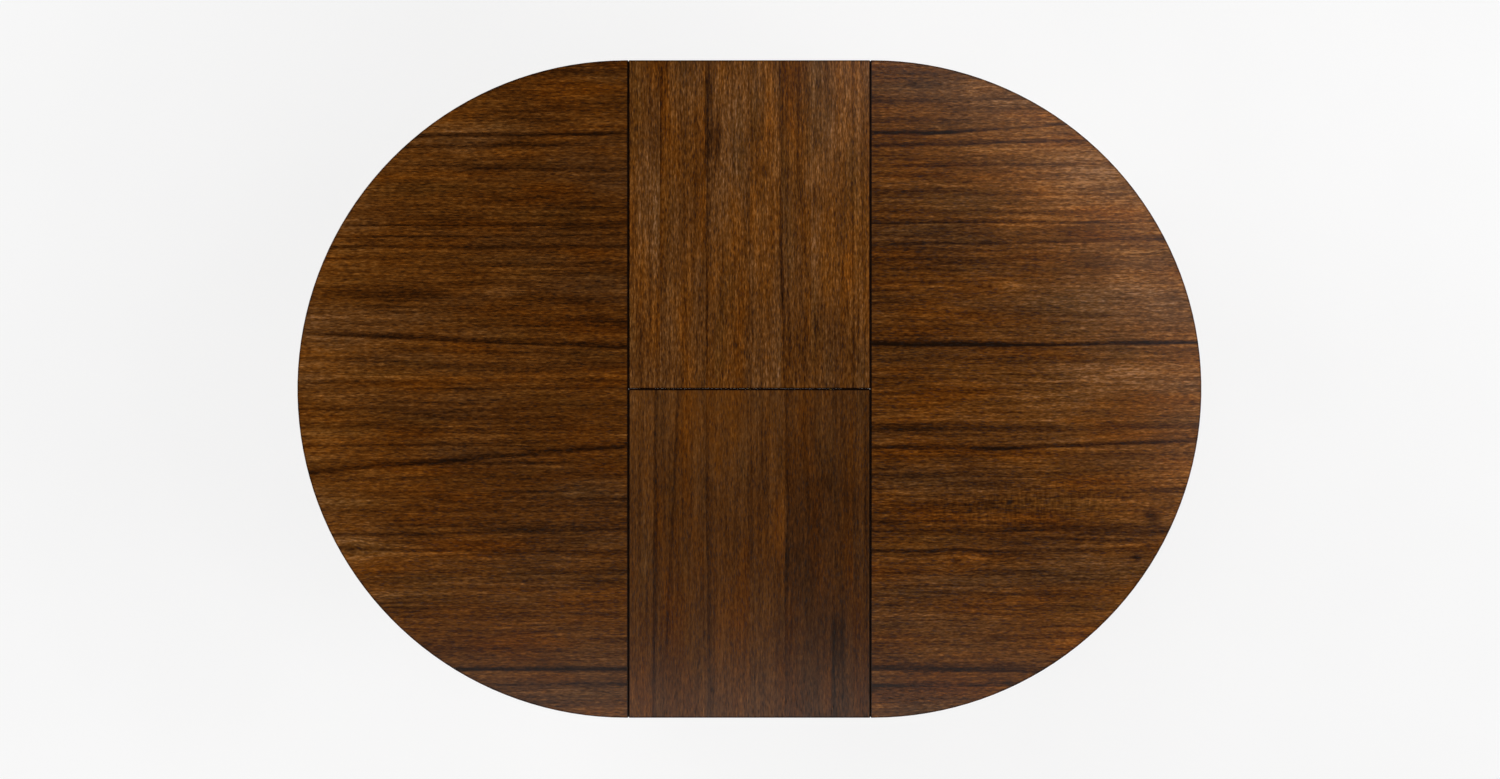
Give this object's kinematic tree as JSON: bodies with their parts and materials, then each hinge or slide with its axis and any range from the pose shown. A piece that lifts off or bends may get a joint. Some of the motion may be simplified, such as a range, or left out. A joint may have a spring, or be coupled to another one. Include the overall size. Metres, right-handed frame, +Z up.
{
  "type": "extendable dining table",
  "caption": "Oval dining table: half-round walnut tops on geared slides, with a folding butterfly leaf between them that swings down into a well in the apron frame.",
  "frame": {"origin": "on the floor under the middle of the table", "axes": "+X along the table towards the right half, +Y across it towards the back leaf board, +Z up"},
  "size_m": [1.6758, 1.219, 0.762],
  "materials": {
    "walnut_top": "satin oil",
    "walnut_base": "satin oil",
    "slide_hardwood": "waxed",
    "zinc_steel": "bright zinc",
    "dark_steel": "black powder coat",
    "brass_hinge": "satin",
    "nylon": "matte",
    "dark_nylon": "matte",
    "felt": "felt"
  },
  "bodies": {
    "base": {"leg_left_front": "walnut_base", "leg_left_back": "walnut_base", "leg_right_front": "walnut_base", "leg_right_back": "walnut_base", "foot_glides": "dark_nylon", "apron_front": "walnut_base", "apron_back": "walnut_base", "apron_left": "walnut_base", "apron_right": "walnut_base", "corner_braces": "slide_hardwood", "hanger_bolts": "zinc_steel", "brace_nuts": "zinc_steel", "centre_rail_front": "slide_hardwood", "centre_rail_back": "slide_hardwood", "rail_screws": "zinc_steel", "pinion_axles": "zinc_steel", "storage_batten_left": "slide_hardwood", "storage_batten_right": "slide_hardwood", "rest_blocks": "slide_hardwood", "felt_pads": "felt", "swing_brackets": "dark_steel"},
    "right_half": {"top_right": "walnut_top", "runner_right_front": "slide_hardwood", "runner_right_back": "slide_hardwood", "rack_right_front": "nylon", "rack_right_back": "nylon", "half_screws_right": "zinc_steel", "stiffener_right": "slide_hardwood", "lock_keepers": "zinc_steel"},
    "left_half": {"top_left": "walnut_top", "runner_left_front": "slide_hardwood", "runner_left_back": "slide_hardwood", "rack_left_front": "nylon", "rack_left_back": "nylon", "half_screws_left": "zinc_steel", "stiffener_left": "slide_hardwood", "lock_plates": "zinc_steel"},
    "front_pinion": {"pinion_front": "nylon"},
    "back_pinion": {"pinion_back": "nylon"},
    "front_swing": {"swing_shaft_front": "zinc_steel", "swing_arms_front": "dark_steel"},
    "rear_swing": {"swing_shaft_rear": "zinc_steel", "swing_arms_rear": "dark_steel"},
    "front_leaf": {"leaf_front": "walnut_top", "leaf_brackets": "dark_steel", "hinge_links": "brass_hinge"},
    "back_leaf": {"leaf_back": "walnut_top", "hinge_cups": "brass_hinge"},
    "front_lock": {"lock_lever_front": "zinc_steel"},
    "back_lock": {"lock_lever_back": "zinc_steel"}
  },
  "joints": [
    {"name": "right_slide", "type": "slide", "parent": "base", "child": "right_half", "axis": [1, 0, 0], "range_m": [0, 0.04]},
    {"name": "left_slide", "type": "slide", "parent": "base", "child": "left_half", "axis": [-1, 0, 0], "range_m": [0, 0.04]},
    {"name": "front_pinion_spin", "type": "hinge", "parent": "base", "child": "front_pinion", "pos_m": [0, -0.34897, 0.706], "axis": [0, 0, -1], "range_deg": [0, 152.79]},
    {"name": "back_pinion_spin", "type": "hinge", "parent": "base", "child": "back_pinion", "pos_m": [0, 0.34897, 0.706], "axis": [0, 0, 1], "range_deg": [0, 152.79]},
    {"name": "leaf_swing", "type": "hinge", "parent": "base", "child": "front_swing", "pos_m": [0, -0.14284, 0.6766], "axis": [-1, 0, 0], "range_deg": [0, 161.61]},
    {"name": "rear_arm_swing", "type": "hinge", "parent": "base", "child": "rear_swing", "pos_m": [0, -0.02284, 0.6766], "axis": [-1, 0, 0], "range_deg": [0, 161.61]},
    {"name": "leaf_level", "type": "hinge", "parent": "front_swing", "child": "front_leaf", "pos_m": [0, -0.2914, 0.726], "axis": [1, 0, 0], "range_deg": [0, 161.61]},
    {"name": "leaf_fold", "type": "hinge", "parent": "front_leaf", "child": "back_leaf", "pos_m": [0, 0, 0.7625], "axis": [1, 0, 0], "range_deg": [0, 180]},
    {"name": "front_lock_turn", "type": "hinge", "parent": "left_half", "child": "front_lock", "pos_m": [-0.251, -0.48, 0.7365], "axis": [0, 0, 1], "range_deg": [0, 60]},
    {"name": "back_lock_turn", "type": "hinge", "parent": "left_half", "child": "back_lock", "pos_m": [-0.251, 0.48, 0.7365], "axis": [0, 0, -1], "range_deg": [0, 60]}
  ],
  "couplings": [
    {"joint": "left_slide", "follows": "right_slide", "ratio": 1},
    {"joint": "front_pinion_spin", "follows": "right_slide", "rad_per_m": 66.667},
    {"joint": "back_pinion_spin", "follows": "right_slide", "rad_per_m": 66.667},
    {"joint": "rear_arm_swing", "follows": "leaf_swing", "ratio": 1},
    {"joint": "leaf_level", "follows": "leaf_swing", "ratio": 1},
    {"joint": "leaf_fold", "follows": "leaf_swing", "ratio": 1.1138}
  ]
}
